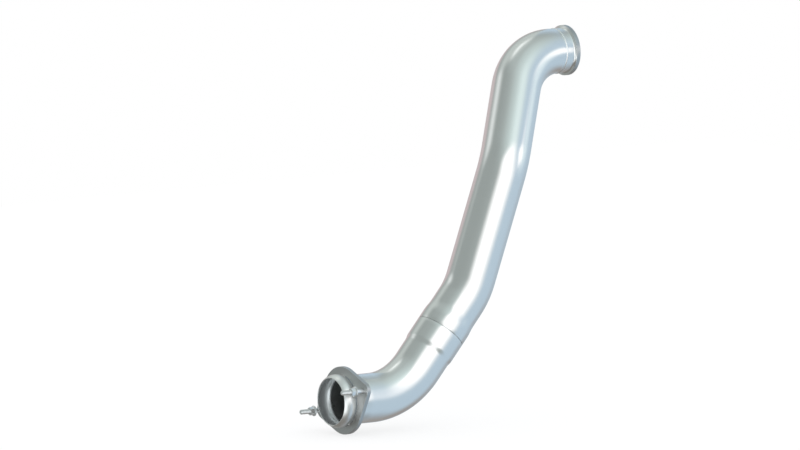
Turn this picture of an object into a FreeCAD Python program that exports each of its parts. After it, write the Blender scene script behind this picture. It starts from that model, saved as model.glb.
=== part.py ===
import FreeCAD, Part
import math
import os

from FreeCAD import Placement, Rotation, Vector

# Turbo downpipe, in millimetres. The origin is the centre of the inlet rim's face, +X points out of the
# inlet along its axis, +Z is up and the outlet faces -X.

# Tube. Its top bend is tighter than the others and narrows on its way round.
tube_od = 101.6
tube_wall = 1.65
bend_radius = 152.4
top_bend_radius = 123.0
top_bend_narrowing = 8.8
top_bend_rings = 9

# Runs of plain tube between the bends, from the outlet up to the inlet
outlet_run = 70.5
elbow_tail_run = 38.0
upper_tail_run = 38.3
middle_run = 215.6
upper_run = 141.1

# Rise of each slanting run above the horizontal, and swing of the upper one towards +Y, in degrees
joint_rise_angle = 49.7
middle_rise_angle = 70.4
upper_rise_angle = 55.1
upper_swing_angle = 40.6

# Slip joint: two belled ends that butt over a plain sleeve cut from the same tube
bell_taper = 8.0
lower_bell_length = 43.0
upper_bell_length = 29.0
bell_seam_gap = 0.8
sleeve_reach = 26.0
sleeve_clearance = 0.4

# Inlet: the flange's neck is as wide as the narrowed tube, and the two are welded end to end
inlet_run = 5.8
v_flange_length = 29.7
v_flange_wall = 2.0
v_rim_height = 5.4
v_rim_land = 9.0
v_back_angle = 20.0
v_neck_fillet = 3.0
v_bore_chamfer = 0.8
weld_bead_width = 2.6
weld_bead_height = 0.5

# Outlet: the tube narrows to a neck and its end is flared into a ball, measured outside the wall. The
# plate's front face is the reference that the ball's centre and mouth stand in front of.
ball_swell = 4.2
ball_profile_radius = 24.0
ball_centre_ahead = 12.0
ball_mouth_ahead = 28.0
ball_root_fillet = 4.0
ball_neck_drop = 1.6
ball_neck_run = 16.0
ball_neck_taper = 30.0

# Loose two-bolt plate behind the ball
plate_thickness = 9.5
plate_ring_width = 17.6
plate_ear_wall = 11.0
plate_bolt_outset = 9.3
plate_clock_angle = 21.5
plate_edge_chamfer = 0.8
plate_mouth_chamfer = 1.0
ball_seat_clearance = 0.3

# Bolts and flanged nuts, M10. Threads are drawn as plain cylinders at their mean diameter.
bolt_diameter = 10.0
bolt_hole_clearance = 0.5
bolt_length = 62.0
bolt_thread_length = 38.0
bolt_thread_drop = 0.6
bolt_end_chamfer = 1.2
bolt_head_across_flats = 16.0
bolt_head_height = 6.4
nut_across_flats = 15.0
nut_height = 12.0
nut_flange_diameter = 21.8
nut_flange_edge = 1.6
nut_flange_angle = 25.0
nut_face_ahead = 18.5
nut_thread_clearance = 0.1
hex_chamfer_angle = 30.0
hex_land_ratio = 0.95
near_hex_angle = 12.0
far_hex_angle = 38.0

# Radii that follow
tube_radius = tube_od / 2
top_bend_end_radius = tube_radius - top_bend_narrowing / 2
v_rim_radius = top_bend_end_radius + v_rim_height
bell_radius = tube_radius + sleeve_clearance + tube_wall
ball_radius = tube_radius + ball_swell
ball_neck_radius = tube_radius - ball_neck_drop
ball_profile_height = ball_radius - ball_profile_radius
ball_seat_radius = ball_profile_height + math.sqrt(ball_profile_radius**2 - ball_centre_ahead**2)
plate_bore_radius = ball_seat_radius + ball_seat_clearance
bolt_hole_radius = bolt_diameter / 2 + bolt_hole_clearance
bolt_thread_radius = (bolt_diameter - bolt_thread_drop) / 2
plate_body_radius = plate_bore_radius + plate_ring_width
plate_ear_radius = bolt_hole_radius + plate_ear_wall
bolt_offset = plate_body_radius + plate_bolt_outset


def run_direction(rise, swing):
    """Unit vector of a run, from its rise above the horizontal and its swing towards +Y."""
    level = math.cos(math.radians(rise))
    turn = math.radians(swing)
    return Vector(level * math.cos(turn), level * math.sin(turn), math.sin(math.radians(rise)))


def bend_step(before, after, radius):
    """Displacement from one end of a bend to the other."""
    tangent_length = radius * math.tan(before.getAngle(after) / 2)
    return (before + after) * tangent_length


# Directions of the runs, followed from the outlet to the inlet. Both ends lie along X.
inlet_axis = Vector(1, 0, 0)
outlet_axis = Vector(1, 0, 0)
joint_axis = run_direction(joint_rise_angle, 0)
middle_axis = run_direction(middle_rise_angle, 0)
upper_axis = run_direction(upper_rise_angle, upper_swing_angle)

# Stations along the path, worked back from the rim's face at the origin
rim_centre = Vector(0, 0, 0)
neck_seam = rim_centre - inlet_axis * v_flange_length
top_bend_end = neck_seam - inlet_axis * inlet_run
top_bend_start = top_bend_end - bend_step(upper_axis, inlet_axis, top_bend_radius)
third_bend_end = top_bend_start - upper_axis * upper_run
third_bend_start = third_bend_end - bend_step(middle_axis, upper_axis, bend_radius)
second_bend_end = third_bend_start - middle_axis * middle_run
second_bend_start = second_bend_end - bend_step(joint_axis, middle_axis, bend_radius)
upper_bell_end = second_bend_start - joint_axis * (upper_tail_run + bell_taper + upper_bell_length)
bell_seam = upper_bell_end - joint_axis * (bell_seam_gap / 2)
lower_bell_end = bell_seam - joint_axis * (bell_seam_gap / 2)
elbow_end = lower_bell_end - joint_axis * (elbow_tail_run + bell_taper + lower_bell_length)
elbow_start = elbow_end - bend_step(outlet_axis, joint_axis, bend_radius)
flange_centre = elbow_start - outlet_axis * outlet_run


def segments(points):
    """Straight edges through (along, radius) points of a turned profile."""
    corners = [Vector(radius, 0, along) for along, radius in points]
    return [Part.makeLine(a, b) for a, b in zip(corners, corners[1:])]


def arc(start, middle, end):
    """Arc edge through three (along, radius) points of a turned profile."""
    points = [Vector(radius, 0, along) for along, radius in (start, middle, end)]
    return Part.Arc(*points).toShape()


def arc_about(centre, radius, start_angle, end_angle):
    """Arc edge about a centre, with angles in degrees from the axis towards the radius."""
    angles = [math.radians(a) for a in (start_angle, (start_angle + end_angle) / 2, end_angle)]
    points = [(centre[0] + radius * math.cos(a), centre[1] + radius * math.sin(a)) for a in angles]
    return arc(*points)


def turned(edges, origin, along):
    """Solid of revolution of a closed profile, about an axis through origin."""
    profile = Part.Face(Part.Wire(Part.__sortEdges__(edges)))
    solid = profile.revolve(Vector(0, 0, 0), Vector(0, 0, 1), 360)
    solid.Placement = Placement(origin, Rotation(Vector(0, 0, 1), along))
    return solid


def tube_section(centre, along):
    """Ring face of the plain tube."""
    rings = [Part.Wire(Part.makeCircle(r, centre, along)) for r in (tube_radius, tube_radius - tube_wall)]
    return Part.makeFace(rings, "Part::FaceMakerBullseye")


def straight_tube(start, along, length):
    """Plain tube along a straight run."""
    return tube_section(start, along).extrude(along * length)


def bent_tube(start, before, after, radius):
    """Plain tube round a bend that turns from one direction to the next."""
    turn_axis = before.cross(after).normalize()
    inward = turn_axis.cross(before).normalize()
    angle = math.degrees(before.getAngle(after))
    return tube_section(start, before).revolve(start + inward * radius, turn_axis, angle)


def narrowing_bend(start, before, after, radius, end_radius):
    """Tube that narrows as it goes round a bend, little at first and most at its end."""
    turn_axis = before.cross(after).normalize()
    inward = turn_axis.cross(before).normalize()
    angle = math.degrees(before.getAngle(after))

    def skin(depth):
        rings = []
        for step in range(top_bend_rings + 1):
            share = step / top_bend_rings
            ring_radius = tube_radius + (end_radius - tube_radius) * share**3 - depth
            ring = Part.Wire(Part.makeCircle(ring_radius, start, before))
            ring.rotate(start + inward * radius, turn_axis, angle * share)
            rings.append(ring)
        return Part.makeLoft(rings, True, False)

    return skin(0).cut(skin(tube_wall))


def swaged_skin(start, end, depth):
    """Two arcs that carry a skin from one radius to another, depth below the outer skin.

    start and end are (along, radius) points of the outer skin, and both ends run along the axis.
    """
    length = end[0] - start[0]
    rise = end[1] - start[1]
    way = math.copysign(1, rise)
    sweep = 2 * math.atan(abs(rise) / length)
    radius = length / (2 * math.sin(sweep))
    first = radius + way * depth
    second = radius - way * depth
    angles = (0, sweep / 2, sweep)
    leaving = [
        (start[0] + first * math.sin(a), start[1] + way * (radius - first * math.cos(a))) for a in angles
    ]
    arriving = [
        (end[0] - second * math.sin(a), end[1] - way * (radius - second * math.cos(a))) for a in angles
    ]
    return [arc(*leaving), arc(*arriving)]


def bell_wall(start, along, tail_run, bell_length):
    """Plain tube that widens into a bell, from start along its axis."""
    taper_start = tail_run
    taper_end = tail_run + bell_taper
    bell_end = taper_end + bell_length
    edges = []
    for depth in (0, tube_wall):
        tube_skin = tube_radius - depth
        bell_skin = bell_radius - depth
        edges += segments([(0, tube_skin), (taper_start, tube_skin)])
        edges += swaged_skin((taper_start, tube_radius), (taper_end, bell_radius), depth)
        edges += segments([(taper_end, bell_skin), (bell_end, bell_skin)])
    edges += segments([(0, tube_radius), (0, tube_radius - tube_wall)])
    edges += segments([(bell_end, bell_radius), (bell_end, bell_radius - tube_wall)])
    return turned(edges, start, along)


def bead_arc(seam, side):
    """Half of the weld bead's crown, from the seam down to the skin on one side of it."""
    half_width = weld_bead_width / 2
    crown_radius = (half_width**2 + weld_bead_height**2) / (2 * weld_bead_height)
    crown_centre = top_bend_end_radius + weld_bead_height - crown_radius
    middle = half_width / 2
    middle_height = crown_centre + math.sqrt(crown_radius**2 - middle**2)
    return arc(
        (seam, top_bend_end_radius + weld_bead_height),
        (seam + side * middle, middle_height),
        (seam + side * half_width, top_bend_end_radius),
    )


def inlet_end():
    """Straight end of the narrowed tube, with its half of the weld bead."""
    bead_start = inlet_run - weld_bead_width / 2
    bore = top_bend_end_radius - tube_wall
    edges = [bead_arc(inlet_run, -1)]
    edges += segments([
        (inlet_run, top_bend_end_radius + weld_bead_height),
        (inlet_run, bore),
        (0, bore),
        (0, top_bend_end_radius),
        (bead_start, top_bend_end_radius),
    ])
    return turned(edges, top_bend_end, inlet_axis)


def outlet_ball():
    """Ball flare at the outlet, its neck and the run behind it, from the plate's front face."""
    centre = (-ball_centre_ahead, ball_profile_height)
    root_height = ball_neck_radius + ball_root_fillet
    root_rise = root_height - ball_profile_height
    root_back = math.sqrt((ball_profile_radius + ball_root_fillet) ** 2 - root_rise**2)
    root = (centre[0] + root_back, root_height)
    root_angle = math.degrees(math.atan2(root_rise, root_back))
    mouth_back = ball_mouth_ahead - ball_centre_ahead
    taper_end = ball_neck_run + ball_neck_taper
    edges = []
    lip = []
    for depth in (0, tube_wall):
        skin = ball_profile_radius - depth
        mouth_rise = math.sqrt(skin**2 - mouth_back**2)
        mouth_angle = math.degrees(math.atan2(mouth_rise, -mouth_back))
        edges.append(arc_about(centre, skin, mouth_angle, root_angle))
        edges.append(arc_about(root, ball_root_fillet + depth, root_angle + 180, 270))
        edges += segments([(root[0], ball_neck_radius - depth), (ball_neck_run, ball_neck_radius - depth)])
        edges += swaged_skin((ball_neck_run, ball_neck_radius), (taper_end, tube_radius), depth)
        edges += segments([(taper_end, tube_radius - depth), (outlet_run, tube_radius - depth)])
        lip.append((-ball_mouth_ahead, ball_profile_height + mouth_rise))
    edges += segments(lip)
    edges += segments([(outlet_run, tube_radius), (outlet_run, tube_radius - tube_wall)])
    return turned(edges, flange_centre, outlet_axis)


def fused(solids):
    """One solid from solids that meet end to end."""
    whole = solids[0].multiFuse(solids[1:]).removeSplitter()
    return whole.Solids[0]


def lower_elbow():
    """Outlet ball, elbow and lower bell, formed from one tube."""
    return fused([
        outlet_ball(),
        bent_tube(elbow_start, outlet_axis, joint_axis, bend_radius),
        bell_wall(elbow_end, joint_axis, elbow_tail_run, lower_bell_length),
    ])


def upper_pipe():
    """Upper bell, three bends and the narrowed inlet end, formed from one tube."""
    return fused([
        bell_wall(second_bend_start, joint_axis * -1, upper_tail_run, upper_bell_length),
        bent_tube(second_bend_start, joint_axis, middle_axis, bend_radius),
        straight_tube(second_bend_end, middle_axis, middle_run),
        bent_tube(third_bend_start, middle_axis, upper_axis, bend_radius),
        straight_tube(third_bend_end, upper_axis, upper_run),
        narrowing_bend(top_bend_start, upper_axis, inlet_axis, top_bend_radius, top_bend_end_radius),
        inlet_end(),
    ])


def coupling_sleeve():
    """Plain sleeve inside both bells, centred on their seam."""
    start = bell_seam - joint_axis * sleeve_reach
    return straight_tube(start, joint_axis, sleeve_reach * 2)


def v_band_flange():
    """Turned inlet flange: a neck, a filleted conical back and the rim's land."""
    neck_end = -v_flange_length
    bead_end = neck_end + weld_bead_width / 2
    bore = top_bend_end_radius - v_flange_wall
    lean = math.radians(v_back_angle)
    corner = (-v_rim_land - v_rim_height * math.tan(lean), top_bend_end_radius)
    half_corner = (math.pi / 2 + lean) / 2
    tangent = v_neck_fillet / math.tan(half_corner)
    inside = v_neck_fillet / math.sin(half_corner) - v_neck_fillet
    bisector = math.pi - half_corner
    on_neck = (corner[0] - tangent, top_bend_end_radius)
    on_arc = (corner[0] + inside * math.cos(bisector), corner[1] + inside * math.sin(bisector))
    on_back = (corner[0] + tangent * math.sin(lean), corner[1] + tangent * math.cos(lean))
    edges = [bead_arc(neck_end, 1), arc(on_neck, on_arc, on_back)]
    edges += segments([(bead_end, top_bend_end_radius), on_neck])
    edges += segments([
        on_back,
        (-v_rim_land, v_rim_radius),
        (0, v_rim_radius),
        (0, bore + v_bore_chamfer),
        (-v_bore_chamfer, bore),
        (neck_end, bore),
        (neck_end, top_bend_end_radius + weld_bead_height),
    ])
    return turned(edges, rim_centre, inlet_axis)


def bolt_direction(side):
    """Unit vector from the outlet axis to a bolt: side -1 is the near bolt, 1 the far one."""
    clock = math.radians(plate_clock_angle)
    return Vector(0, side * math.cos(clock), -side * math.sin(clock))


def bolt_centre(side):
    """Centre of a bolt on the plate's front face."""
    return flange_centre + bolt_direction(side) * bolt_offset


def plate_outline():
    """Round body with two ears, joined by straight tangent sides, on the plate's front face."""
    tangent_angle = math.acos((plate_body_radius - plate_ear_radius) / bolt_offset)

    def point(centre, radius, angle):
        return Vector(centre + radius * math.cos(angle), radius * math.sin(angle), 0)

    edges = []
    for start in (0, math.pi):
        ear = bolt_offset * math.cos(start)
        ear_arc = [point(ear, plate_ear_radius, start + t * tangent_angle) for t in (-1, 0, 1)]
        body_turns = (tangent_angle, math.pi / 2, math.pi - tangent_angle)
        body_arc = [point(0, plate_body_radius, start + t) for t in body_turns]
        next_ear = point(-ear, plate_ear_radius, start + math.pi - tangent_angle)
        edges.append(Part.Arc(*ear_arc).toShape())
        edges.append(Part.makeLine(ear_arc[2], body_arc[0]))
        edges.append(Part.Arc(*body_arc).toShape())
        edges.append(Part.makeLine(body_arc[2], next_ear))
    return Part.Face(Part.Wire(Part.__sortEdges__(edges)))


def plate_placement():
    """Puts the plate's flat pattern on its front face, with its length through the bolts."""
    along = bolt_direction(1)
    return Placement(flange_centre, Rotation(along, outlet_axis.cross(along), outlet_axis, "ZXY"))


def ball_flange_plate():
    """Two-bolt plate with a round bore that the ball seats on and a hole in each ear."""
    blank = plate_outline().extrude(Vector(0, 0, plate_thickness))
    level_edges = [e for e in blank.Edges if abs(e.BoundBox.ZMax - e.BoundBox.ZMin) < plate_edge_chamfer]
    blank = blank.makeChamfer(plate_edge_chamfer, level_edges)
    bore = Part.makeCylinder(plate_bore_radius, plate_thickness)
    mouth = Part.makeCone(plate_bore_radius + plate_mouth_chamfer, plate_bore_radius, plate_mouth_chamfer)
    cuts = [bore, mouth]
    for side in (-1, 1):
        centre = Vector(side * bolt_offset, 0, 0)
        cuts.append(Part.makeCylinder(bolt_hole_radius, plate_thickness, centre))
    plate = blank.cut(cuts).Solids[0]
    plate.Placement = plate_placement()
    return plate


def hex_blank(across_flats, height, turn):
    """Hexagonal prism from z = 0, the corners of its far end rounded off by a cone."""
    corner = across_flats / 2 / math.cos(math.pi / 6)
    angles = [math.radians(turn + 60 * i) for i in range(7)]
    outline = Part.makePolygon([Vector(corner * math.cos(a), corner * math.sin(a), 0) for a in angles])
    prism = Part.Face(outline).extrude(Vector(0, 0, height))
    land = across_flats / 2 * hex_land_ratio
    drop = (corner - land) * math.tan(math.radians(hex_chamfer_angle))
    profile = [(0, 0), (0, corner), (height - drop, corner), (height, land), (height, 0), (0, 0)]
    return prism.common(turned(segments(profile), Vector(0, 0, 0), Vector(0, 0, 1)))


def bolt_placement(side, ahead):
    """Puts a fastener built along +Z on a bolt's axis, pointing forward, ahead of the front face."""
    forward = outlet_axis * -1
    return Placement(bolt_centre(side) + forward * ahead, Rotation(Vector(0, 0, 1), forward))


def flange_bolt(side, turn):
    """Hex bolt put through the plate from behind."""
    head = hex_blank(bolt_head_across_flats, bolt_head_height, turn)
    head = head.mirror(Vector(0, 0, 0), Vector(0, 0, 1))
    shank_end = bolt_length - bolt_thread_length
    profile = [
        (0, 0),
        (0, bolt_diameter / 2),
        (shank_end, bolt_diameter / 2),
        (shank_end, bolt_thread_radius),
        (bolt_length - bolt_end_chamfer, bolt_thread_radius),
        (bolt_length, bolt_thread_radius - bolt_end_chamfer),
        (bolt_length, 0),
        (0, 0),
    ]
    shank = turned(segments(profile), Vector(0, 0, 0), Vector(0, 0, 1))
    bolt = fused([head, shank])
    bolt.Placement = bolt_placement(side, -plate_thickness)
    return bolt


def flange_nut(side, turn):
    """Flanged hex nut run part of the way down a bolt, its flange towards the plate."""
    flange_radius = nut_flange_diameter / 2
    hex_radius = nut_across_flats / 2
    slope_rise = (flange_radius - hex_radius) * math.tan(math.radians(nut_flange_angle))
    slope_top = nut_flange_edge + slope_rise
    profile = [
        (0, 0),
        (0, flange_radius),
        (nut_flange_edge, flange_radius),
        (slope_top, hex_radius),
        (slope_top, 0),
        (0, 0),
    ]
    flange = turned(segments(profile), Vector(0, 0, 0), Vector(0, 0, 1))
    blank = fused([hex_blank(nut_across_flats, nut_height, turn), flange])
    thread_radius = bolt_thread_radius + nut_thread_clearance
    nut = blank.cut(Part.makeCylinder(thread_radius, nut_height)).Solids[0]
    nut.Placement = bolt_placement(side, nut_face_ahead)
    return nut


parts = {
    "upper_pipe": upper_pipe(),
    "lower_elbow": lower_elbow(),
    "coupling_sleeve": coupling_sleeve(),
    "v_band_flange": v_band_flange(),
    "ball_flange_plate": ball_flange_plate(),
    "flange_bolt_near": flange_bolt(-1, near_hex_angle),
    "flange_bolt_far": flange_bolt(1, far_hex_angle),
    "flange_nut_near": flange_nut(-1, near_hex_angle),
    "flange_nut_far": flange_nut(1, far_hex_angle),
}

os.makedirs("parts", exist_ok=True)
for node, solid in parts.items():
    solid.exportStep("parts/" + node + ".step")
    box = solid.BoundBox
    print(node, "valid" if solid.isValid() else "not valid", len(solid.Solids), round(solid.Volume))
    print("  from", round(box.XMin, 1), round(box.YMin, 1), round(box.ZMin, 1))
    print("  to  ", round(box.XMax, 1), round(box.YMax, 1), round(box.ZMax, 1))
print("outlet flange centre", flange_centre)
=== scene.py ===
import math

import bpy
from mathutils import Matrix, Vector


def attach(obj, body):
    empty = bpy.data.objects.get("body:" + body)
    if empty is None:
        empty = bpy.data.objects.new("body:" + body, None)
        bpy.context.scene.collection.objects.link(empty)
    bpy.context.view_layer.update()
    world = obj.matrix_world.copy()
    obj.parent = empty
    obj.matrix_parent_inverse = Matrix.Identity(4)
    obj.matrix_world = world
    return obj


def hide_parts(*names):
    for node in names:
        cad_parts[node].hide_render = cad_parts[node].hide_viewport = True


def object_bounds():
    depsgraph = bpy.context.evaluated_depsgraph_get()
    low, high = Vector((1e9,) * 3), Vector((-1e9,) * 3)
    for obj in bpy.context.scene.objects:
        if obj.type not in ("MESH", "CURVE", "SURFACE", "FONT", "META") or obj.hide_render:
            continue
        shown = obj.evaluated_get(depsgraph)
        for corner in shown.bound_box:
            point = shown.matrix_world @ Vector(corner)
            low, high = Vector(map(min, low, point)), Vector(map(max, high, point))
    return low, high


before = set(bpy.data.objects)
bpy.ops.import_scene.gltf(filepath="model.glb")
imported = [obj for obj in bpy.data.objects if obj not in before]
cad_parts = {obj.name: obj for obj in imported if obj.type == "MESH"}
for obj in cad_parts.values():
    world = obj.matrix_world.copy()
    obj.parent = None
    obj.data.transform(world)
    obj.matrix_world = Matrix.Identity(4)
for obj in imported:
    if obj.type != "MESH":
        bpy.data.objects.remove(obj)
cadLow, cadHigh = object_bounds()
print("frame loaded")

mm = 0.001
xAxis = Vector((1, 0, 0))
zAxis = Vector((0, 0, 1))


# Camera: a long lens far off, turned and raised as in the photo

cameraPlan = {
    "azimuth": -35.0,
    "elevation": 8.2,
    "lens": 960.0,
    "sensor": 36.0,
    "frameWidth": 800 * 2.05 * mm,
    "target": Vector((-0.4049, 0.0165, -0.3334)),
    "roll": 0.13,
}


def cameraBack(plan):
    turn = math.radians(plan["azimuth"])
    lift = math.radians(plan["elevation"])
    return Vector((math.sin(turn) * math.cos(lift), -math.cos(turn) * math.cos(lift), math.sin(lift)))


def makeCamera(plan):
    data = bpy.data.cameras.new("camera")
    data.lens = plan["lens"]
    data.sensor_width = plan["sensor"]
    distance = plan["frameWidth"] * plan["lens"] / plan["sensor"]
    data.clip_start = distance * 0.5
    data.clip_end = distance * 2
    camera = bpy.data.objects.new("camera", data)
    bpy.context.scene.collection.objects.link(camera)
    back = cameraBack(plan)
    camera.rotation_mode = "QUATERNION"
    roll = Matrix.Rotation(math.radians(plan["roll"]), 3, back).to_quaternion()
    camera.rotation_quaternion = roll @ (-back).to_track_quat("-Z", "Y")
    camera.location = plan["target"] + back * distance
    bpy.context.scene.camera = camera


makeCamera(cameraPlan)
print("camera set")


# Node helpers

def addNode(tree, kind, **settings):
    node = tree.nodes.new(kind)
    for name, value in settings.items():
        setattr(node, name, value)
    return node


def feed(tree, socket, value):
    if isinstance(value, bpy.types.NodeSocket):
        tree.links.new(value, socket)
    else:
        socket.default_value = value


def mathNode(tree, operation, *values):
    node = addNode(tree, "ShaderNodeMath", operation=operation)
    for socket, value in zip(node.inputs, values):
        feed(tree, socket, value)
    return node.outputs[0]


def smoothStep(tree, value, low, high):
    node = addNode(tree, "ShaderNodeMapRange", interpolation_type="SMOOTHSTEP")
    feed(tree, node.inputs["Value"], value)
    feed(tree, node.inputs["From Min"], low)
    feed(tree, node.inputs["From Max"], high)
    return node.outputs["Result"]


def mixColour(tree, factor, first, second):
    node = addNode(tree, "ShaderNodeMix", data_type="RGBA")
    feed(tree, node.inputs["Factor"], factor)
    feed(tree, node.inputs[6], first)
    feed(tree, node.inputs[7], second)
    return node.outputs[2]


# Materials

def newMaterial(name):
    material = bpy.data.materials.new(name)
    material.use_nodes = True
    return material, material.node_tree, material.node_tree.nodes["Principled BSDF"]


def metalMaterial(look):
    material, tree, shader = newMaterial(look["name"])
    shader.inputs["Metallic"].default_value = look.get("metallic", 1.0)
    shader.inputs["Base Color"].default_value = (*look["colour"], 1)
    coords = addNode(tree, "ShaderNodeTexCoord").outputs["Object"]
    grain = addNode(tree, "ShaderNodeTexNoise")
    tree.links.new(coords, grain.inputs["Vector"])
    grain.inputs["Scale"].default_value = look["grainScale"]
    grain.inputs["Detail"].default_value = 4.0
    rough = addNode(tree, "ShaderNodeMapRange")
    tree.links.new(grain.outputs["Fac"], rough.inputs["Value"])
    rough.inputs["To Min"].default_value = look["roughness"] - look["roughSpread"]
    rough.inputs["To Max"].default_value = look["roughness"] + look["roughSpread"]
    tree.links.new(rough.outputs["Result"], shader.inputs["Roughness"])
    bump = addNode(tree, "ShaderNodeBump")
    bump.inputs["Strength"].default_value = look["bump"]
    bump.inputs["Distance"].default_value = look["bumpHeight"]
    tree.links.new(grain.outputs["Fac"], bump.inputs["Height"])
    tree.links.new(bump.outputs["Normal"], shader.inputs["Normal"])
    return material


tubeLook = {
    "name": "satinTube",
    "colour": (0.93, 0.935, 0.93),
    "roughness": 0.19,
    "roughSpread": 0.02,
    "grainScale": 60.0,
    "bump": 0.04,
    "bumpHeight": 0.2 * mm,
}
insideLook = {
    "name": "tubeInside",
    "colour": (0.74, 0.76, 0.76),
    "roughness": 0.26,
    "roughSpread": 0.04,
    "grainScale": 90.0,
    "bump": 0.08,
    "bumpHeight": 0.2 * mm,
    "metallic": 0.94,
}
# Painted light: a lighter, partly diffuse copy of the inside finish for the stretch near the mouth,
# standing in for light that comes in there
lipLook = {
    "name": "flareInsidePaintedLight",
    "colour": (0.7, 0.74, 0.75),
    "roughness": 0.24,
    "roughSpread": 0.02,
    "grainScale": 90.0,
    "bump": 0.03,
    "bumpHeight": 0.2 * mm,
    "metallic": 0.65,
}
flareLook = {
    "name": "flareOutside",
    "colour": (0.95, 0.955, 0.95),
    "roughness": 0.34,
    "roughSpread": 0.03,
    "grainScale": 60.0,
    "bump": 0.04,
    "bumpHeight": 0.2 * mm,
}
rimLook = {
    "name": "turnedSteel",
    "colour": (0.55, 0.56, 0.56),
    "roughness": 0.36,
    "roughSpread": 0.04,
    "grainScale": 160.0,
    "bump": 0.05,
    "bumpHeight": 0.1 * mm,
}
plateLook = {
    "name": "plateSteel",
    "colour": (0.57, 0.58, 0.58),
    "roughness": 0.4,
    "roughSpread": 0.05,
    "grainScale": 120.0,
    "bump": 0.08,
    "bumpHeight": 0.1 * mm,
}
# Painted shade: a dark finish for the plate's bore and mouth chamfer, standing in for the shade where the
# ball meets the plate
boreShadeLook = {
    "name": "plateBorePaintedShade",
    "colour": (0.2, 0.21, 0.21),
    "roughness": 0.5,
    "roughSpread": 0.05,
    "grainScale": 120.0,
    "bump": 0.08,
    "bumpHeight": 0.1 * mm,
}
zincLook = {
    "name": "brightZinc",
    "colour": (0.95, 0.96, 0.97),
    "roughness": 0.3,
    "roughSpread": 0.04,
    "grainScale": 300.0,
    "bump": 0.05,
    "bumpHeight": 0.05 * mm,
}
weldLook = {
    "name": "weldSteel",
    "colour": (0.97, 0.98, 0.98),
    "roughness": 0.28,
    "roughSpread": 0.05,
    "grainScale": 250.0,
    "bump": 0.1,
    "bumpHeight": 0.1 * mm,
}
tubeSteel = metalMaterial(tubeLook)
insideSteel = metalMaterial(insideLook)
lipSteel = metalMaterial(lipLook)
flareSteel = metalMaterial(flareLook)
rimSteel = metalMaterial(rimLook)
plateSteel = metalMaterial(plateLook)
boreShadeSteel = metalMaterial(boreShadeLook)
zinc = metalMaterial(zincLook)
weldSteel = metalMaterial(weldLook)
print("materials made")


# Mesh helpers

def addObject(name, mesh):
    piece = bpy.data.objects.new(name, mesh)
    bpy.context.scene.collection.objects.link(piece)
    return piece


def plainMesh(piece):
    depsgraph = bpy.context.evaluated_depsgraph_get()
    mesh = bpy.data.meshes.new_from_object(piece.evaluated_get(depsgraph))
    piece.modifiers.clear()
    old = piece.data
    piece.data = mesh
    mesh.name = piece.name
    bpy.data.meshes.remove(old)
    return piece


def smoothShade(piece, edgeAngle):
    for face in piece.data.polygons:
        face.use_smooth = True
    piece.data.set_sharp_from_angle(angle=math.radians(edgeAngle))


def axisPlace(origin, along):
    turn = zAxis.rotation_difference(along).to_matrix().to_4x4()
    return Matrix.Translation(origin) @ turn


# A stack of rings about an axis, each a function of the angle that gives (radius, height)
def ringStack(name, rings, sides, place, looped):
    angles = [2 * math.pi * i / sides for i in range(sides)]
    points = []
    for ring in rings:
        for angle in angles:
            radius, height = ring(angle)
            points.append(place @ Vector((radius * math.cos(angle), radius * math.sin(angle), height)))
    faces = []
    bands = len(rings) if looped else len(rings) - 1
    for band in range(bands):
        low = band * sides
        high = (band + 1) % len(rings) * sides
        for i in range(sides):
            j = (i + 1) % sides
            faces.append((low + i, low + j, high + j, high + i))
    if not looped:
        faces.append(tuple(reversed(range(sides))))
        top = (len(rings) - 1) * sides
        faces.append(tuple(range(top, top + sides)))
    mesh = bpy.data.meshes.new(name)
    mesh.from_pydata(points, [], faces)
    return addObject(name, mesh)


def even(radius, height):
    return lambda angle: (radius, height)


# Rounds the corners of a closed profile of (radius, height, fillet) corners
def roundedProfile(corners, steps):
    rounded = []
    count = len(corners)
    for i, (radius, height, fillet) in enumerate(corners):
        corner = Vector((radius, height))
        before = Vector(corners[i - 1][:2]) - corner
        after = Vector(corners[(i + 1) % count][:2]) - corner
        if fillet == 0:
            rounded.append((radius, height))
            continue
        half = before.angle(after) / 2
        reach = fillet / math.tan(half)
        start = corner + before.normalized() * reach
        end = corner + after.normalized() * reach
        inward = (before.normalized() + after.normalized()).normalized()
        centre = corner + inward * (fillet / math.sin(half))
        for step in range(steps + 1):
            spoke = (start - centre).slerp(end - centre, step / steps)
            rounded.append(tuple(centre + spoke.normalized() * fillet))
    return rounded


def joinPieces(name, pieces):
    bpy.ops.object.select_all(action="DESELECT")
    for piece in pieces:
        piece.select_set(True)
    bpy.context.view_layer.objects.active = pieces[0]
    bpy.ops.object.join()
    pieces[0].name = name
    pieces[0].data.name = name
    return pieces[0]


# Path of the tube, worked back from the rim's face at the origin as the solids are

tube = {
    "radius": 50.8 * mm,
    "wall": 1.65 * mm,
    "bendRadius": 152.4 * mm,
    "topBendRadius": 123.0 * mm,
    "sides": 112,
    "bendStep": math.radians(1.5),
    "runStep": 8 * mm,
    "leastStep": 0.01 * mm,
    "lipRound": 0.45 * mm,
    "lipAngle": 50.0,
    "edgeAngle": 40.0,
}
runs = {
    "outlet": 70.5 * mm,
    "elbowTail": 38 * mm,
    "upperTail": 38.3 * mm,
    "middle": 215.6 * mm,
    "upper": 141.1 * mm,
}
rise = {"joint": 49.7, "middle": 70.4, "upper": 55.1}
upperSwing = 40.6
bell = {
    "radius": 52.85 * mm,
    "taper": 8 * mm,
    "lower": 43 * mm,
    "upper": 29 * mm,
    "gap": 0.8 * mm,
    "softLower": 5 * mm,
    "softUpper": 20 * mm,
    "taperSteps": 20,
}
neck = {
    "radius": 46.4 * mm,
    "run": 5.8 * mm,
    "flange": 29.7 * mm,
    "narrowPower": 3,
    "steps": 4,
}
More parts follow.
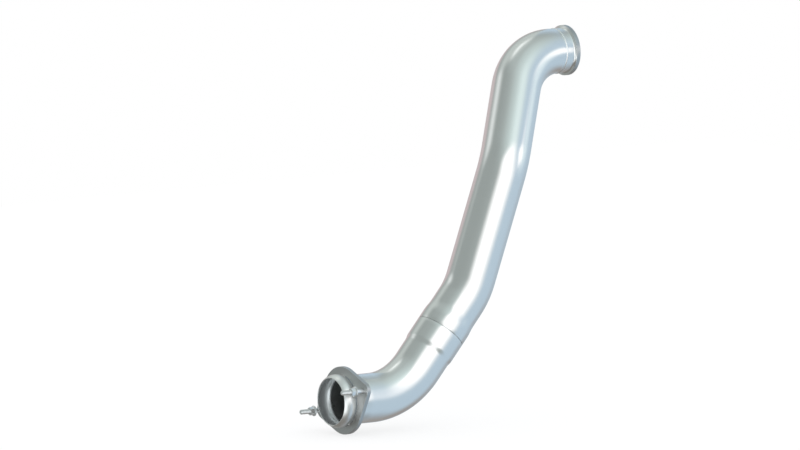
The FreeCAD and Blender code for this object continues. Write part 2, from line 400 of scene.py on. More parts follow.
ball = {
    "radius": 55 * mm,
    "profile": 24 * mm,
    "centre": 12 * mm,
    "mouth": 28 * mm,
    # Depth from the mouth that takes the painted-light finish inside
    "lip": 34 * mm,
    # Stretch about the plate's front face where the ball's outside takes painted shade
    "seatShadeAhead": 1.0 * mm,
    "seatShadeBehind": 9.5 * mm,
    "rootFillet": 4 * mm,
    "neckRadius": 49.2 * mm,
    "neckRun": 16 * mm,
    "neckTaper": 30 * mm,
    "step": 0.8 * mm,
}


def runDirection(riseAngle, swingAngle):
    level = math.cos(math.radians(riseAngle))
    turn = math.radians(swingAngle)
    return Vector((level * math.cos(turn), level * math.sin(turn), math.sin(math.radians(riseAngle))))


def bendReach(before, after, radius):
    return (before + after) * radius * math.tan(before.angle(after) / 2)


jointAxis = runDirection(rise["joint"], 0)
middleAxis = runDirection(rise["middle"], 0)
upperAxis = runDirection(rise["upper"], upperSwing)
neckSeam = xAxis * -neck["flange"]
topBendEnd = neckSeam - xAxis * neck["run"]
topBendStart = topBendEnd - bendReach(upperAxis, xAxis, tube["topBendRadius"])
thirdBendEnd = topBendStart - upperAxis * runs["upper"]
thirdBendStart = thirdBendEnd - bendReach(middleAxis, upperAxis, tube["bendRadius"])
secondBendEnd = thirdBendStart - middleAxis * runs["middle"]
secondBendStart = secondBendEnd - bendReach(jointAxis, middleAxis, tube["bendRadius"])
upperBellEnd = secondBendStart - jointAxis * (runs["upperTail"] + bell["taper"] + bell["upper"])
lowerBellEnd = upperBellEnd - jointAxis * bell["gap"]
elbowEnd = lowerBellEnd - jointAxis * (runs["elbowTail"] + bell["taper"] + bell["lower"])
elbowStart = elbowEnd - bendReach(xAxis, jointAxis, tube["bendRadius"])
flangeCentre = elbowStart - xAxis * runs["outlet"]


def eased(share):
    return 0.5 - 0.5 * math.cos(math.pi * share)


# Stations are (point, radius) pairs along the centre line
def runStations(start, along, length, step, radiusAt):
    count = max(1, round(length / step))
    shares = [i / count for i in range(count + 1)]
    return [(start + along * (length * s), radiusAt(s)) for s in shares]


def bendStations(start, before, after, radius, radiusAt):
    angle = before.angle(after)
    count = max(1, round(angle / tube["bendStep"]))
    turnAxis = before.cross(after).normalized()
    centre = start + turnAxis.cross(before).normalized() * radius
    stations = []
    for i in range(count + 1):
        share = i / count
        spoke = Matrix.Rotation(angle * share, 3, turnAxis) @ (start - centre)
        stations.append((centre + spoke, radiusAt(share)))
    return stations


def plain(share):
    return tube["radius"]


# The taper behind a bell is eased over a longer stretch than in the solid
def bellStations(start, along, bellLength, tailRun, soft):
    level = bellLength - soft / 2
    taper = bell["taper"] + soft
    fall = tube["radius"] - bell["radius"]
    stations = runStations(start, along, level, tube["runStep"], lambda share: bell["radius"])
    stations += runStations(
        start + along * level, along, taper, taper / bell["taperSteps"],
        lambda share: bell["radius"] + fall * eased(share),
    )
    tailStart = start + along * (level + taper)
    return stations + runStations(tailStart, along, tailRun - soft / 2, tube["runStep"], plain)


def upperStations():
    stations = bellStations(upperBellEnd, jointAxis, bell["upper"], runs["upperTail"], bell["softUpper"])
    stations += bendStations(secondBendStart, jointAxis, middleAxis, tube["bendRadius"], plain)
    stations += runStations(secondBendEnd, middleAxis, runs["middle"], tube["runStep"], plain)
    stations += bendStations(thirdBendStart, middleAxis, upperAxis, tube["bendRadius"], plain)
    stations += runStations(thirdBendEnd, upperAxis, runs["upper"], tube["runStep"], plain)
    narrowing = neck["radius"] - tube["radius"]
    stations += bendStations(
        topBendStart, upperAxis, xAxis, tube["topBendRadius"],
        lambda share: tube["radius"] + narrowing * share ** neck["narrowPower"],
    )
    step = neck["run"] / neck["steps"]
    return stations + runStations(topBendEnd, xAxis, neck["run"], step, lambda share: neck["radius"])


# Skin of the outlet, by its distance behind the plate's front face: ball, root, neck and taper
def outletRadius(behind):
    profile = ball["profile"]
    profileHeight = ball["radius"] - profile
    rootHeight = ball["neckRadius"] + ball["rootFillet"]
    rootBack = math.sqrt((profile + ball["rootFillet"]) ** 2 - (rootHeight - profileHeight) ** 2)
    root = rootBack - ball["centre"]
    tangent = rootBack * profile / (profile + ball["rootFillet"]) - ball["centre"]
    if behind < tangent:
        return profileHeight + math.sqrt(profile**2 - (behind + ball["centre"]) ** 2)
    if behind < root:
        return rootHeight - math.sqrt(ball["rootFillet"] ** 2 - (root - behind) ** 2)
    share = min(max((behind - ball["neckRun"]) / ball["neckTaper"], 0), 1)
    return ball["neckRadius"] + (tube["radius"] - ball["neckRadius"]) * eased(share)


def lowerStations():
    stations = bellStations(lowerBellEnd, -jointAxis, bell["lower"], runs["elbowTail"], bell["softLower"])
    stations += bendStations(elbowEnd, -jointAxis, -xAxis, tube["bendRadius"], plain)
    length = runs["outlet"] + ball["mouth"]
    stations += runStations(
        elbowStart, -xAxis, length, ball["step"],
        lambda share: outletRadius(runs["outlet"] - length * share),
    )
    return stations


# Geometry Nodes: a round skin swept along a line of stations
def sweptTree():
    tree = bpy.data.node_groups.new("sweptTube", "GeometryNodeTree")
    tree.interface.new_socket("Geometry", in_out="INPUT", socket_type="NodeSocketGeometry")
    tree.interface.new_socket("Sides", in_out="INPUT", socket_type="NodeSocketInt")
    tree.interface.new_socket("Material", in_out="INPUT", socket_type="NodeSocketMaterial")
    tree.interface.new_socket("Geometry", in_out="OUTPUT", socket_type="NodeSocketGeometry")
    entry = addNode(tree, "NodeGroupInput")
    leave = addNode(tree, "NodeGroupOutput")
    line = addNode(tree, "GeometryNodeMeshToCurve")
    tree.links.new(entry.outputs["Geometry"], line.inputs["Mesh"])
    stored = addNode(tree, "GeometryNodeInputNamedAttribute", data_type="FLOAT")
    stored.inputs["Name"].default_value = "ringRadius"
    size = addNode(tree, "GeometryNodeSetCurveRadius")
    tree.links.new(line.outputs["Curve"], size.inputs["Curve"])
    tree.links.new(stored.outputs["Attribute"], size.inputs["Radius"])
    circle = addNode(tree, "GeometryNodeCurvePrimitiveCircle")
    circle.inputs["Radius"].default_value = 1.0
    tree.links.new(entry.outputs["Sides"], circle.inputs["Resolution"])
    sweep = addNode(tree, "GeometryNodeCurveToMesh")
    tree.links.new(size.outputs["Curve"], sweep.inputs["Curve"])
    tree.links.new(circle.outputs["Curve"], sweep.inputs["Profile Curve"])
    radius = addNode(tree, "GeometryNodeInputRadius")
    tree.links.new(radius.outputs["Radius"], sweep.inputs["Scale"])
    realize = addNode(tree, "GeometryNodeRealizeInstances")
    tree.links.new(sweep.outputs["Mesh"], realize.inputs["Geometry"])
    paint = addNode(tree, "GeometryNodeSetMaterial")
    tree.links.new(realize.outputs["Geometry"], paint.inputs["Geometry"])
    tree.links.new(entry.outputs["Material"], paint.inputs["Material"])
    tree.links.new(paint.outputs["Geometry"], leave.inputs["Geometry"])
    return tree


def setInput(modifier, name, value):
    for item in modifier.node_group.interface.items_tree:
        if item.in_out == "INPUT" and item.name == name:
            modifier[item.identifier] = value


sweptTube = sweptTree()


def tubeShell(name, stations):
    kept = [stations[0]]
    for station in stations[1:]:
        if (station[0] - kept[-1][0]).length > tube["leastStep"]:
            kept.append(station)
    mesh = bpy.data.meshes.new(name)
    mesh.from_pydata([point for point, radius in kept], [(i, i + 1) for i in range(len(kept) - 1)], [])
    sizes = mesh.attributes.new("ringRadius", "FLOAT", "POINT")
    sizes.data.foreach_set("value", [radius for point, radius in kept])
    piece = addObject(name, mesh)
    sweep = piece.modifiers.new("sweep", "NODES")
    sweep.node_group = sweptTube
    setInput(sweep, "Sides", tube["sides"])
    setInput(sweep, "Material", tubeSteel)
    plainMesh(piece)
    piece.data.materials.append(insideSteel)
    wall = piece.modifiers.new("wall", "SOLIDIFY")
    wall.thickness = tube["wall"]
    wall.offset = -1
    wall.use_even_offset = True
    wall.material_offset = 1
    lips = piece.modifiers.new("lips", "BEVEL")
    lips.width = tube["lipRound"]
    lips.segments = 3
    lips.limit_method = "ANGLE"
    lips.angle_limit = math.radians(tube["lipAngle"])
    plainMesh(piece)
    smoothShade(piece, tube["edgeAngle"])
    return piece


# The flare's outside is duller than the tube. Where the ball sits in the plate, its outside takes the
# plate's greyer finish as painted shade, and the inside near the mouth takes a lighter, partly diffuse
# finish as painted light coming in at the mouth
def finishFlare(piece):
    for finish in (flareSteel, lipSteel, plateSteel):
        piece.data.materials.append(finish)
    outside, inside, flare, lip, seatShade = range(5)
    for face in piece.data.polygons:
        behind = face.center.x - flangeCentre.x
        if face.material_index == inside and behind < ball["lip"] - ball["mouth"]:
            face.material_index = lip
        elif face.material_index == outside and behind < -ball["seatShadeAhead"]:
            face.material_index = flare
        elif face.material_index == outside and behind < ball["seatShadeBehind"]:
            face.material_index = seatShade


upperPipe = tubeShell("upperPipe", upperStations())
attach(upperPipe, "pipe")
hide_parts("upper_pipe")
lowerElbow = tubeShell("lowerElbow", lowerStations())
finishFlare(lowerElbow)
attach(lowerElbow, "pipe")
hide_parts("lower_elbow")
print("tubes swept")


# Sleeve inside the slip joint: the solid itself, seen only through the seam

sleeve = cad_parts["coupling_sleeve"]
sleeve.data.materials.clear()
sleeve.data.materials.append(insideSteel)


# Inlet flange, turned about the inlet's axis

inlet = {
    "bore": 44.4 * mm,
    "chamfer": 0.8 * mm,
    "rimRadius": 51.8 * mm,
    "land": 9 * mm,
    "backAngle": 20.0,
    "rimRound": 0.5 * mm,
    "neckFillet": 3 * mm,
    "roundSteps": 6,
    "edgeAngle": 25.0,
    "sides": 160,
}


def makeInlet():
    lean = (inlet["rimRadius"] - neck["radius"]) * math.tan(math.radians(inlet["backAngle"]))
    corners = [
        (inlet["bore"], -neck["flange"], 0),
        (neck["radius"], -neck["flange"], 0),
        (neck["radius"], -inlet["land"] - lean, inlet["neckFillet"]),
        (inlet["rimRadius"], -inlet["land"], inlet["rimRound"]),
        (inlet["rimRadius"], 0, inlet["rimRound"]),
        (inlet["bore"] + inlet["chamfer"], 0, 0),
        (inlet["bore"], -inlet["chamfer"], 0),
    ]
    rings = [even(radius, height) for radius, height in roundedProfile(corners, inlet["roundSteps"])]
    piece = ringStack("inletFlange", rings, inlet["sides"], axisPlace(Vector(), xAxis), True)
    for finish in (rimSteel, tubeSteel, insideSteel):
        piece.data.materials.append(finish)
    rim, back, bore = range(3)
    wallMiddle = (inlet["bore"] + neck["radius"]) / 2
    for face in piece.data.polygons:
        spot = face.center
        if math.hypot(spot.y, spot.z) < wallMiddle and abs(face.normal.x) < 0.5:
            face.material_index = bore
        elif spot.x < -inlet["land"]:
            face.material_index = back
        else:
            face.material_index = rim
    smoothShade(piece, inlet["edgeAngle"])
    return piece


inletFlange = makeInlet()
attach(inletFlange, "pipe")
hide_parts("v_band_flange")
print("inlet flange turned")


# Weld bead round the neck: overlapping ripples set on a circle by Geometry Nodes

bead = {
    "count": 180,
    "length": 2.8 * mm,
    "across": 4.2 * mm,
    "height": 1.3 * mm,
    "lean": 20.0,
    "smallest": 0.88,
    "largest": 1.08,
    "seed": 4,
}


def beadTree():
    tree = bpy.data.node_groups.new("weldBead", "GeometryNodeTree")
    inputs = (("Count", "NodeSocketInt"), ("Ring Radius", "NodeSocketFloat"),
              ("Ripple", "NodeSocketVector"), ("Lean", "NodeSocketFloat"), ("Smallest", "NodeSocketFloat"),
              ("Largest", "NodeSocketFloat"), ("Seed", "NodeSocketInt"), ("Material", "NodeSocketMaterial"))
    for name, kind in inputs:
        tree.interface.new_socket(name, in_out="INPUT", socket_type=kind)
    tree.interface.new_socket("Geometry", in_out="OUTPUT", socket_type="NodeSocketGeometry")
    entry = addNode(tree, "NodeGroupInput")
    leave = addNode(tree, "NodeGroupOutput")
    ring = addNode(tree, "GeometryNodeCurvePrimitiveCircle")
    tree.links.new(entry.outputs["Count"], ring.inputs["Resolution"])
    tree.links.new(entry.outputs["Ring Radius"], ring.inputs["Radius"])
    points = addNode(tree, "GeometryNodeCurveToPoints", mode="EVALUATED")
    tree.links.new(ring.outputs["Curve"], points.inputs["Curve"])
    ripple = addNode(tree, "GeometryNodeMeshUVSphere")
    ripple.inputs["Segments"].default_value = 12
    ripple.inputs["Rings"].default_value = 8
    ripple.inputs["Radius"].default_value = 0.5
    spread = addNode(tree, "FunctionNodeRandomValue", data_type="FLOAT")
    tree.links.new(entry.outputs["Smallest"], spread.inputs[2])
    tree.links.new(entry.outputs["Largest"], spread.inputs[3])
    tree.links.new(entry.outputs["Seed"], spread.inputs["Seed"])
    size = addNode(tree, "ShaderNodeVectorMath", operation="SCALE")
    tree.links.new(entry.outputs["Ripple"], size.inputs[0])
    tree.links.new(spread.outputs[1], size.inputs["Scale"])
    place = addNode(tree, "GeometryNodeInstanceOnPoints")
    tree.links.new(points.outputs["Points"], place.inputs["Points"])
    tree.links.new(ripple.outputs["Mesh"], place.inputs["Instance"])
    tilt = addNode(tree, "ShaderNodeCombineXYZ")
    tree.links.new(entry.outputs["Lean"], tilt.inputs["Z"])
    leaned = addNode(tree, "FunctionNodeRotateRotation", rotation_space="LOCAL")
    tree.links.new(points.outputs["Rotation"], leaned.inputs["Rotation"])
    tree.links.new(tilt.outputs[0], leaned.inputs["Rotate By"])
    tree.links.new(leaned.outputs[0], place.inputs["Rotation"])
    tree.links.new(size.outputs[0], place.inputs["Scale"])
    realize = addNode(tree, "GeometryNodeRealizeInstances")
    tree.links.new(place.outputs["Instances"], realize.inputs["Geometry"])
    soft = addNode(tree, "GeometryNodeSetShadeSmooth")
    tree.links.new(realize.outputs["Geometry"], soft.inputs["Geometry"])
    paint = addNode(tree, "GeometryNodeSetMaterial")
    tree.links.new(soft.outputs["Geometry"], paint.inputs["Geometry"])
    tree.links.new(entry.outputs["Material"], paint.inputs["Material"])
    tree.links.new(paint.outputs["Geometry"], leave.inputs["Geometry"])
    return tree


def makeBead():
    piece = addObject("weldBead", bpy.data.meshes.new("weldBead"))
    modifier = piece.modifiers.new("ripples", "NODES")
    modifier.node_group = beadTree()
    setInput(modifier, "Count", bead["count"])
    setInput(modifier, "Ring Radius", neck["radius"])
    setInput(modifier, "Ripple", (bead["height"], bead["across"], bead["length"]))
    setInput(modifier, "Lean", math.radians(bead["lean"]))
    setInput(modifier, "Smallest", bead["smallest"])
    setInput(modifier, "Largest", bead["largest"])
    setInput(modifier, "Seed", bead["seed"])
    setInput(modifier, "Material", weldSteel)
    plainMesh(piece)
    piece.data.transform(axisPlace(neckSeam, xAxis))
    return piece


weldBead = makeBead()
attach(weldBead, "pipe")
print("weld bead laid")


# Loose flange plate, drawn on its front face with its length through the bolts

plate = {
    "thickness": 9.5 * mm,
    "bore": 52.085 * mm,
    "ringWidth": 17.6 * mm,
    "ear": 16.5 * mm,
    "boltOutset": 9.3 * mm,
    "clock": 21.5,
    "chamfer": 0.8 * mm,
    "mouthChamfer": 1.0 * mm,
    "hole": 5.5 * mm,
    "holeOver": 1 * mm,
    "holeSides": 48,
    "edgeAngle": 30.0,
    "sides": 240,
}
plateBody = plate["bore"] + plate["ringWidth"]
boltOffset = plateBody + plate["boltOutset"]
clock = math.radians(plate["clock"])
boltAlong = Vector((0, math.cos(clock), -math.sin(clock)))
plateTurn = Matrix((boltAlong, xAxis.cross(boltAlong), xAxis)).transposed().to_4x4()
platePlace = Matrix.Translation(flangeCentre) @ plateTurn


# Distance from the centre to the plate's edge: ear, straight side or round body
def plateEdge(angle, inset):
    turn = abs(math.atan2(math.sin(angle), math.cos(angle)))
    turn = min(turn, math.pi - turn)
    body = plateBody - inset
    ear = plate["ear"] - inset
    lean = math.acos((body - ear) / boltOffset)
    earCorner = Vector((boltOffset + ear * math.cos(lean), ear * math.sin(lean)))
    if turn >= lean:
        return body
    if turn >= math.atan2(earCorner.y, earCorner.x):
        return body / math.cos(lean - turn)
    reach = boltOffset * math.cos(turn)
    return reach + math.sqrt(ear**2 - (boltOffset * math.sin(turn)) ** 2)


def makePlate():
    thickness = plate["thickness"]
    chamfer = plate["chamfer"]

    def edge(inset, height):
        return lambda angle: (plateEdge(angle, inset), height)

    rings = [
        even(plate["bore"] + plate["mouthChamfer"], 0),
        even(plate["bore"], plate["mouthChamfer"]),
        even(plate["bore"], thickness),
        edge(chamfer, thickness),
        edge(0, thickness - chamfer),
        edge(0, chamfer),
        edge(chamfer, 0),
    ]
    piece = ringStack("flangePlate", rings, plate["sides"], platePlace, True)
    holes = []
    for side in (-1, 1):
        over = plate["holeOver"]
        rim = [even(plate["hole"], -over), even(plate["hole"], thickness + over)]
        place = platePlace @ Matrix.Translation((side * boltOffset, 0, 0))
        hole = ringStack("boltHole", rim, plate["holeSides"], place, False)
        cut = piece.modifiers.new("hole", "BOOLEAN")
        cut.object = hole
        cut.solver = "EXACT"
        holes.append(hole)
    plainMesh(piece)
    for hole in holes:
        bpy.data.objects.remove(hole)
    piece.data.materials.clear()
    piece.data.materials.append(plateSteel)
    piece.data.materials.append(boreShadeSteel)
    toPlate = platePlace.inverted()
    # The bore and mouth chamfer take the dark finish, as painted shade between the plate and the ball
    for face in piece.data.polygons:
        face.material_index = int((toPlate @ face.center).length < plate["bore"] + plate["mouthChamfer"])
    smoothShade(piece, plate["edgeAngle"])
    return piece


flangePlate = makePlate()
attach(flangePlate, "swivel_flange")
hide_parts("ball_flange_plate")
print("flange plate cut")


# Bolts and flanged nuts. Heights run forward from the plate's back face.

bolt = {
    "radius": 5 * mm,
    "length": 62 * mm,
    "thread": 38 * mm,
    "pitch": 1.5 * mm,
    "depth": 0.9 * mm,
    "headFlats": 16 * mm,
    "headHeight": 6.4 * mm,
    "endChamfer": 1.4 * mm,
    "sides": 48,
    "stepsPerTurn": 8,
    "lap": 0.1 * mm,
}
nut = {
    "flats": 15 * mm,
    "height": 12 * mm,
    "flangeRadius": 10.9 * mm,
    "flangeEdge": 1.6 * mm,
    "slope": 25.0,
    "ahead": 18.5 * mm,
    "bore": 5.05 * mm,
    "mouth": 5.6 * mm,
    "edgeRound": 0.5 * mm,
}
hexLand = 0.95
hexSlope = math.tan(math.radians(30))
hexSides = 144
hexEdgeAngle = 25.0
cornerCut = 0.985


# Distance to a hexagon's side, its corners taken down a little
def hexEdge(angle, flats):
    turn = (angle + math.pi / 6) % (math.pi / 3) - math.pi / 6
    sharp = flats / 2 / math.cos(turn)
    return min(sharp, flats / 2 / math.cos(math.pi / 6) * cornerCut)


def hexRing(flats, turn, heightAt):
    def ring(angle):
        radius = hexEdge(angle - turn, flats)
        return radius, heightAt(radius)
    return ring


def hexCrown(flats, height):
    return lambda radius: height - max(0.0, radius - flats / 2 * hexLand) * hexSlope


def boltPlace(side, ahead):
    start = flangeCentre + boltAlong * (side * boltOffset) - xAxis * ahead
    return axisPlace(start, -xAxis)


# Geometry Nodes: a rod whose skin rises and falls along a helix
def threadTree():
    tree = bpy.data.node_groups.new("threadedRod", "GeometryNodeTree")
    inputs = (("Radius", "NodeSocketFloat"), ("Length", "NodeSocketFloat"), ("Pitch", "NodeSocketFloat"),
              ("Depth", "NodeSocketFloat"), ("Chamfer", "NodeSocketFloat"), ("Sides", "NodeSocketInt"),
              ("Steps", "NodeSocketInt"), ("Material", "NodeSocketMaterial"))
    for name, kind in inputs:
        tree.interface.new_socket(name, in_out="INPUT", socket_type=kind)
    tree.interface.new_socket("Geometry", in_out="OUTPUT", socket_type="NodeSocketGeometry")
    entry = addNode(tree, "NodeGroupInput")
    leave = addNode(tree, "NodeGroupOutput")
    given = entry.outputs
    rod = addNode(tree, "GeometryNodeMeshCylinder")
    tree.links.new(given["Sides"], rod.inputs["Vertices"])
    tree.links.new(given["Steps"], rod.inputs["Side Segments"])
    tree.links.new(given["Radius"], rod.inputs["Radius"])
    tree.links.new(given["Length"], rod.inputs["Depth"])
    spot = addNode(tree, "ShaderNodeSeparateXYZ")
    tree.links.new(addNode(tree, "GeometryNodeInputPosition").outputs[0], spot.inputs[0])
    angle = mathNode(tree, "ARCTAN2", spot.outputs[1], spot.outputs[0])
    turn = mathNode(tree, "DIVIDE", angle, 2 * math.pi)
    lead = mathNode(tree, "SUBTRACT", mathNode(tree, "DIVIDE", spot.outputs[2], given["Pitch"]), turn)
    wave = mathNode(tree, "MULTIPLY", mathNode(tree, "PINGPONG", lead, 0.5), 2.0)
    groove = mathNode(tree, "MULTIPLY", wave, given["Depth"])
    toTip = mathNode(tree, "SUBTRACT", mathNode(tree, "DIVIDE", given["Length"], 2.0), spot.outputs[2])
    tip = mathNode(tree, "MAXIMUM", mathNode(tree, "SUBTRACT", given["Chamfer"], toTip), 0.0)
    inset = mathNode(tree, "MAXIMUM", groove, tip)
    share = mathNode(tree, "SUBTRACT", 1.0, mathNode(tree, "DIVIDE", inset, given["Radius"]))
    joined = addNode(tree, "ShaderNodeCombineXYZ")
    for axis in (0, 1):
        tree.links.new(mathNode(tree, "MULTIPLY", spot.outputs[axis], share), joined.inputs[axis])
    tree.links.new(spot.outputs[2], joined.inputs[2])
    move = addNode(tree, "GeometryNodeSetPosition")
    tree.links.new(rod.outputs["Mesh"], move.inputs["Geometry"])
    tree.links.new(joined.outputs[0], move.inputs["Position"])
    realize = addNode(tree, "GeometryNodeRealizeInstances")
    tree.links.new(move.outputs["Geometry"], realize.inputs["Geometry"])
    paint = addNode(tree, "GeometryNodeSetMaterial")
    tree.links.new(realize.outputs["Geometry"], paint.inputs["Geometry"])
    tree.links.new(given["Material"], paint.inputs["Material"])
    tree.links.new(paint.outputs["Geometry"], leave.inputs["Geometry"])
    return tree


threadedRod = threadTree()


def makeThread(place):
    piece = addObject("thread", bpy.data.meshes.new("thread"))
    modifier = piece.modifiers.new("helix", "NODES")
    modifier.node_group = threadedRod
    setInput(modifier, "Radius", bolt["radius"])
    setInput(modifier, "Length", bolt["thread"])
    setInput(modifier, "Pitch", bolt["pitch"])
    setInput(modifier, "Depth", bolt["depth"])
    setInput(modifier, "Chamfer", bolt["endChamfer"])
    setInput(modifier, "Sides", bolt["sides"])
    setInput(modifier, "Steps", round(bolt["thread"] / bolt["pitch"] * bolt["stepsPerTurn"]))
    setInput(modifier, "Material", zinc)
    plainMesh(piece)
    middle = bolt["length"] - bolt["thread"] / 2
    piece.data.transform(place @ Matrix.Translation((0, 0, middle)))
    return piece


def makeBolt(name, side, turn):
    place = boltPlace(side, -plate["thickness"])
    flats = bolt["headFlats"]
    crown = hexCrown(flats, bolt["headHeight"])
    head = [
        even(flats / 2 * hexLand, -bolt["headHeight"]),
        hexRing(flats, turn, lambda radius: -crown(radius)),
        hexRing(flats, turn, lambda radius: 0),
    ]
    headPiece = ringStack("head", head, hexSides, place, False)
    shankEnd = bolt["length"] - bolt["thread"]
    shank = [even(bolt["radius"], -bolt["lap"]), even(bolt["radius"], shankEnd + bolt["lap"])]
    shankPiece = ringStack("shank", shank, bolt["sides"], place, False)
    for piece in (headPiece, shankPiece):
        piece.data.materials.append(zinc)
    whole = joinPieces(name, [headPiece, shankPiece, makeThread(place)])
    smoothShade(whole, hexEdgeAngle)
    return whole


def makeNut(name, side, turn):
    place = boltPlace(side, nut["ahead"])
    flats = nut["flats"]
    crown = hexCrown(flats, nut["height"])
    fall = math.tan(math.radians(nut["slope"]))
    edgeRound = nut["edgeRound"]

    def skirt(radius):
        return nut["flangeEdge"] + (nut["flangeRadius"] - radius) * fall

    rings = [
        even(nut["bore"], nut["mouth"] - nut["bore"]),
        even(nut["mouth"], 0),
        even(nut["flangeRadius"] - edgeRound, 0),
        even(nut["flangeRadius"], edgeRound),
        even(nut["flangeRadius"], nut["flangeEdge"] - edgeRound / 2),
        even(nut["flangeRadius"] - edgeRound / 2, nut["flangeEdge"] + edgeRound / 2 * fall),
        hexRing(flats, turn, skirt),
        hexRing(flats, turn, crown),
        even(flats / 2 * hexLand, nut["height"]),
        even(nut["mouth"], nut["height"]),
        even(nut["bore"], nut["height"] - nut["mouth"] + nut["bore"]),
    ]
    piece = ringStack(name, rings, hexSides, place, True)
    piece.data.materials.append(zinc)
    smoothShade(piece, hexEdgeAngle)
    return piece


fasteners = {"Near": (-1, "near", 12.0), "Far": (1, "far", 38.0)}
for label, (side, node, hexTurn) in fasteners.items():
    boltPiece = makeBolt("flangeBolt" + label, side, math.radians(hexTurn))
    nutPiece = makeNut("flangeNut" + label, side, math.radians(hexTurn))
    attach(boltPiece, "swivel_flange")
    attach(nutPiece, "swivel_flange")
    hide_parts("flange_bolt_" + node)
    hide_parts("flange_nut_" + node)
print("fasteners made")


# Floor, which takes only the soft shadow

floorPlan = {
    "half": 3.0,
    "drop": 0.5 * mm,
    "colour": (0.23, 0.235, 0.24),
    "glow": 0.77,
}


def makeFloor():
    half = floorPlan["half"]
    height = cadLow.z - floorPlan["drop"]
    centre = cameraPlan["target"]
    corners = [(-half, -half), (half, -half), (half, half), (-half, half)]
    mesh = bpy.data.meshes.new("floor")
    mesh.from_pydata([(centre.x + x, centre.y + y, height) for x, y in corners], [], [(0, 1, 2, 3)])
    floor = addObject("floor", mesh)
    material, tree, shader = newMaterial("whiteFloor")
    shader.inputs["Base Color"].default_value = (*floorPlan["colour"], 1)
    shader.inputs["Emission Color"].default_value = (1, 1, 1, 1)
    shader.inputs["Emission Strength"].default_value = floorPlan["glow"]
    shader.inputs["Roughness"].default_value = 1.0
    shader.inputs["Specular IOR Level"].default_value = 0.0
    floor.data.materials.append(material)
    floor.visible_glossy = False


makeFloor()


# World: white to the camera and in diffuse light, and a studio of soft panels in the reflections.
# Azimuths run to the right of the camera, seen from the object, in degrees. A panel's lean is how far
# it shifts sideways for each degree that it rises.

def panel(azimuth, elevation, soft, colour, lean=0.0):
    return {"azimuth": azimuth, "elevation": elevation, "soft": soft, "colour": colour, "lean": lean}


studio = {
    "floorLight": (1.06, 1.06, 1.06),
    "low": (0.21, 0.2, 0.185),
    "lowFade": (-58, -15),
    "horizon": (0.315, 0.352, 0.343),
    "highFade": (45, 75),
    "high": (0.42, 0.475, 0.465),
    "panels": {
        "leftWall": panel((-230, -112), (25, 75), (30, 24), (0.53, 0.58, 0.56)),
        "leftCeiling": panel((-168, -116), (57, 67), (40, 12), (1.05, 1.1, 1.08)),
        "leftFloor": panel((-230, -124), (-25, 14), (20, 14), (0.57, 0.50, 0.505)),
        "canopy": panel((-8, 110), (32, 82), (90, 44), (0.56, 0.66, 0.65)),
        "rightWall": panel((52, 200), (-60, 46), (40, 36), (0.48, 0.60, 0.70)),
        "keyGlow": panel((30, 72), (33, 58), (40, 24), (0.74, 0.87, 0.86)),
        "frontFloor": panel((-30, 16), (-46, 6), (26, 18), (1.3, 1.36, 1.38)),
        "rightFloor": panel((128, 220), (-60, -20), (46, 40), (0.32, 0.30, 0.285)),
        "sideGlow": panel((84, 116), (-4, 17), (24, 18), (0.74, 0.86, 0.91)),
        "leftStrip": panel((-119, -97), (19, 36), (20, 15), (0.78, 0.82, 0.81), lean=0.5),
    },
}


def windowMask(tree, value, low, high, soft):
    rising = smoothStep(tree, value, low - soft / 2, low + soft / 2)
    falling = smoothStep(tree, value, high + soft / 2, high - soft / 2)
    return mathNode(tree, "MULTIPLY", rising, falling)


# Two soft boxes stand so close that their place in the metal changes along the pipe, and they show only
# there. Each faces the pipe from a distance off the spot where it stands, with its sides in metres.

softBoxes = {
    "keyBox": {
        "stand": (-0.30, -0.095),
        "azimuth": 32.0,
        "distance": 1.8,
        "across": (-1.15, 0.85),
        "up": (-0.68, 1.4),
        "soft": (1.6, 0.8),
        "strength": 1.35,
    },
    "sideBox": {
        "stand": (0.0, 0.0),
        "azimuth": 79.0,
        "distance": 1.5,
        "across": (-0.42, 0.18),
        "up": (-0.11, 0.42),
        "soft": (0.3, 0.3),
        "strength": 1.25,
    },
}
cameraFacing = cameraBack({**cameraPlan, "elevation": 0})
cameraSide = zAxis.cross(cameraFacing)


def softBoxMaterial(name, box):
    material = bpy.data.materials.new(name)
    material.use_nodes = True
    tree = material.node_tree
    tree.nodes.clear()
    spot = addNode(tree, "ShaderNodeSeparateXYZ")
    tree.links.new(addNode(tree, "ShaderNodeTexCoord").outputs["Object"], spot.inputs[0])
    across = windowMask(tree, spot.outputs["X"], *box["across"], box["soft"][0])
    upright = windowMask(tree, spot.outputs["Y"], *box["up"], box["soft"][1])
    glow = addNode(tree, "ShaderNodeEmission")
    glow.inputs["Strength"].default_value = box["strength"]
    mixed = addNode(tree, "ShaderNodeMixShader")
    tree.links.new(mathNode(tree, "MULTIPLY", across, upright), mixed.inputs["Fac"])
    tree.links.new(addNode(tree, "ShaderNodeBsdfTransparent").outputs[0], mixed.inputs[1])
    tree.links.new(glow.outputs[0], mixed.inputs[2])
    tree.links.new(mixed.outputs[0], addNode(tree, "ShaderNodeOutputMaterial").inputs["Surface"])
    return material


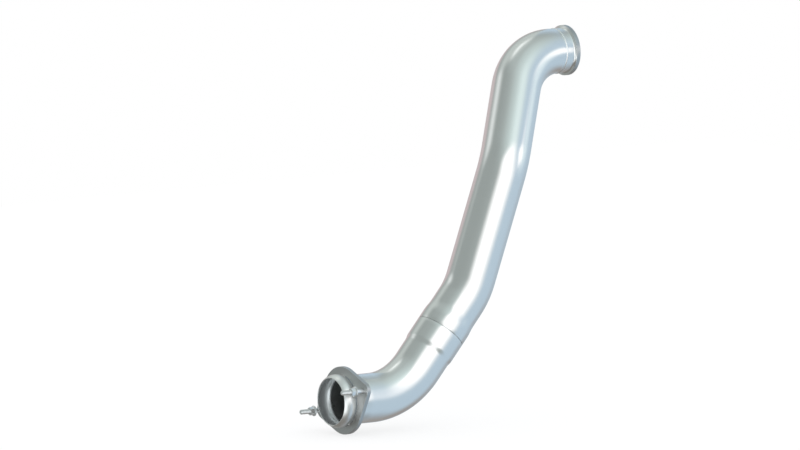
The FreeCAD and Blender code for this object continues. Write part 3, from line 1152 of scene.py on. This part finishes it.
def makeSoftBox(name, box):
    turn = math.radians(box["azimuth"])
    away = cameraSide * math.sin(turn) + cameraFacing * math.cos(turn)
    across = cameraSide * math.cos(turn) - cameraFacing * math.sin(turn)
    left, right = (side + way * box["soft"][0] / 2 for side, way in zip(box["across"], (-1, 1)))
    low, high = (side + way * box["soft"][1] / 2 for side, way in zip(box["up"], (-1, 1)))
    mesh = bpy.data.meshes.new(name)
    corners = [(left, low, 0), (right, low, 0), (right, high, 0), (left, high, 0)]
    mesh.from_pydata(corners, [], [(0, 1, 2, 3)])
    mesh.materials.append(softBoxMaterial(name, box))
    piece = addObject(name, mesh)
    turned = Matrix((across, zAxis, across.cross(zAxis))).transposed().to_4x4()
    piece.matrix_world = Matrix.Translation(Vector((*box["stand"], 0)) + away * box["distance"]) @ turned
    piece.visible_camera = False
    piece.visible_diffuse = False
    piece.visible_shadow = False


for boxName, softBox in softBoxes.items():
    makeSoftBox(boxName, softBox)


def makeWorld():
    world = bpy.data.worlds.new("studio")
    world.use_nodes = True
    bpy.context.scene.world = world
    tree = world.node_tree
    tree.nodes.clear()
    way = addNode(tree, "ShaderNodeTexCoord").outputs["Generated"]

    def along(direction):
        node = addNode(tree, "ShaderNodeVectorMath", operation="DOT_PRODUCT")
        tree.links.new(way, node.inputs[0])
        node.inputs[1].default_value = direction
        return node.outputs["Value"]

    azimuth = mathNode(tree, "DEGREES", mathNode(tree, "ARCTAN2", along(cameraSide), along(cameraFacing)))
    elevation = mathNode(tree, "DEGREES", mathNode(tree, "ARCSINE", along(zAxis)))
    aboveLow = smoothStep(tree, elevation, *studio["lowFade"])
    colour = mixColour(tree, aboveLow, (*studio["low"], 1), (*studio["horizon"], 1))
    aboveHorizon = smoothStep(tree, elevation, *studio["highFade"])
    colour = mixColour(tree, aboveHorizon, colour, (*studio["high"], 1))
    for light in studio["panels"].values():
        middle = sum(light["elevation"]) / 2
        shift = mathNode(tree, "MULTIPLY", mathNode(tree, "SUBTRACT", elevation, middle), light["lean"])
        leaned = mathNode(tree, "SUBTRACT", azimuth, shift)
        across = windowMask(tree, leaned, *light["azimuth"], light["soft"][0])
        upright = windowMask(tree, elevation, *light["elevation"], light["soft"][1])
        mask = mathNode(tree, "MULTIPLY", across, upright)
        colour = mixColour(tree, mask, colour, (*light["colour"], 1))
    rays = addNode(tree, "ShaderNodeLightPath")
    seen = mixColour(tree, rays.outputs["Is Glossy Ray"], (*studio["floorLight"], 1), colour)
    seen = mixColour(tree, rays.outputs["Is Camera Ray"], seen, (1, 1, 1, 1))
    background = addNode(tree, "ShaderNodeBackground")
    tree.links.new(seen, background.inputs["Color"])
    output = addNode(tree, "ShaderNodeOutputWorld")
    tree.links.new(background.outputs["Background"], output.inputs["Surface"])


makeWorld()
bpy.context.scene.view_settings.view_transform = "Standard"
print("stage set")
